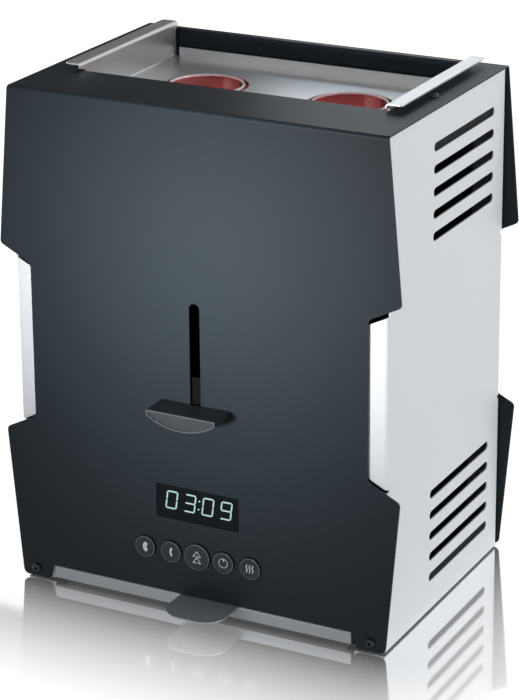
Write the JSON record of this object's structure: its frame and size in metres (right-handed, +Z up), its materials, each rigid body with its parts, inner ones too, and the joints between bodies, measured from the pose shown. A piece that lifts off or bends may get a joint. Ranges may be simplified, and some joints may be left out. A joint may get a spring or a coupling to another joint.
{
  "type": "hot dog toaster",
  "caption": "Upright hot dog toaster: dark folded hood over silver slotted side panels, glass tubes sunk in a lift-off top tray, front lever, display, round buttons and a crumb tray.",
  "frame": {"origin": "on the surface it stands on, under the middle of the bounding box", "axes": "+Z up, -Y to the front with the lever and display, +X to the right seen from the front"},
  "size_m": [0.252, 0.195, 0.306],
  "materials": {
    "hood_powder": "dark charcoal powder coat with a fine texture",
    "silver_powder": "silver-grey coat with a fine texture",
    "tray_steel": "brushed stainless sheet",
    "crumb_steel": "dull grey brushed sheet",
    "inner_sheet": "dark-coated inner sheet",
    "reflector": "bright rolled sheet",
    "clear_glass": "clear heat-proof glass",
    "quartz": "clear quartz tube",
    "heater_coil": "glowing resistance wire",
    "ceramic": "unglazed white ceramic",
    "knob_plastic": "black plastic with a lighter front face",
    "smoked_window": "smoked, polished pane",
    "button_plastic": "dark grey plastic",
    "dark_plastic": "black moulded plastic",
    "pale_plastic": "natural nylon",
    "circuit_board": "green laminate",
    "rubber": "black rubber",
    "black_screw": "black oxide steel",
    "copper": "lacquered copper wire",
    "core_iron": "plain iron",
    "rod_steel": "ground steel",
    "bush_brass": "turned brass",
    "capacitor_can": "sleeved can",
    "black_steel": "blackened steel",
    "lit_digits": "glowing pale cyan segments",
    "icon_print": "pale grey print",
    "knob_face": "dark brushed inlay",
    "knob_rim": "light grey rim"
  },
  "bodies": {
    "casing": {"hood_front": "hood_powder", "hood_top": "hood_powder", "hood_rear": "hood_powder", "side_panel_right": "silver_powder", "side_panel_left": "silver_powder", "hood_screws": "black_screw", "rubber_feet": "rubber", "base_plate": "inner_sheet", "tray_runner_right": "inner_sheet", "tray_runner_left": "inner_sheet", "lower_deck": "inner_sheet", "upper_deck": "inner_sheet", "tube_seat_left": "ceramic", "tube_seat_right": "ceramic", "reflector_left": "reflector", "reflector_right": "reflector", "heater_tubes_left": "quartz", "heater_tubes_right": "quartz", "heater_coils": "heater_coil", "heater_end_caps": "ceramic", "heat_shield": "inner_sheet", "spring_bracket": "inner_sheet", "thermal_cutout": "ceramic", "guide_rods": "rod_steel", "magnet_core": "core_iron", "magnet_coil": "copper", "lift_springs": "rod_steel", "display_window": "smoked_window", "display_module": "dark_plastic", "tact_switches": "dark_plastic", "button_carrier": "pale_plastic", "control_board": "circuit_board", "board_spacers": "pale_plastic", "power_board": "circuit_board", "relay": "dark_plastic", "capacitor": "capacitor_can", "transformer_core": "core_iron", "transformer_winding": "copper", "terminal_block": "pale_plastic", "start_microswitch": "dark_plastic", "cord_gland": "rubber"},
    "lift": {"lift_carriage": "inner_sheet", "lever_rivets": "rod_steel", "armature_plate": "core_iron", "guide_bushes": "bush_brass", "lever_arm": "black_steel", "lever_knob": "knob_plastic", "sausage_holder_left": "tray_steel", "sausage_holder_right": "tray_steel"},
    "top_tray": {"tray_wall_left": "tray_steel", "tray_wall_right": "tray_steel", "tray_floor_left": "tray_steel", "tray_floor_right": "tray_steel"},
    "glass_tube_left": {"glass_tube_left": "clear_glass"},
    "glass_tube_right": {"glass_tube_right": "clear_glass"},
    "crumb_tray": {"crumb_tray": "crumb_steel"},
    "button_thick_sausage": {"button_thick_sausage": "button_plastic"},
    "button_thin_sausage": {"button_thin_sausage": "button_plastic"},
    "button_start": {"button_start": "button_plastic"},
    "button_timer": {"button_timer": "button_plastic"},
    "button_keep_warm": {"button_keep_warm": "button_plastic"}
  },
  "joints": [
    {"name": "lift_slide", "type": "slide", "parent": "casing", "child": "lift", "axis": [0, 0, 1], "range_m": [0, 0.057], "deforming": ["lift_springs"]},
    {"name": "glass_tube_left_lift", "type": "slide", "parent": "casing", "child": "glass_tube_left", "axis": [0, 0, 1], "range_m": [0, 0.2]},
    {"name": "glass_tube_right_lift", "type": "slide", "parent": "casing", "child": "glass_tube_right", "axis": [0, 0, 1], "range_m": [0, 0.2]},
    {"name": "top_tray_lift", "type": "slide", "parent": "casing", "child": "top_tray", "axis": [0, 0, 1], "range_m": [0, 0.06]},
    {"name": "crumb_tray_slide", "type": "slide", "parent": "casing", "child": "crumb_tray", "axis": [0, -1, 0], "range_m": [0, 0.15]},
    {"name": "button_thick_sausage_press", "type": "slide", "parent": "casing", "child": "button_thick_sausage", "axis": [0, 1, 0], "range_m": [0, 0.0005], "stiffness_N_per_m": 300},
    {"name": "button_thin_sausage_press", "type": "slide", "parent": "casing", "child": "button_thin_sausage", "axis": [0, 1, 0], "range_m": [0, 0.0005], "stiffness_N_per_m": 300},
    {"name": "button_start_press", "type": "slide", "parent": "casing", "child": "button_start", "axis": [0, 1, 0], "range_m": [0, 0.0005], "stiffness_N_per_m": 300},
    {"name": "button_timer_press", "type": "slide", "parent": "casing", "child": "button_timer", "axis": [0, 1, 0], "range_m": [0, 0.0005], "stiffness_N_per_m": 300},
    {"name": "button_keep_warm_press", "type": "slide", "parent": "casing", "child": "button_keep_warm", "axis": [0, 1, 0], "range_m": [0, 0.0005], "stiffness_N_per_m": 300}
  ]
}
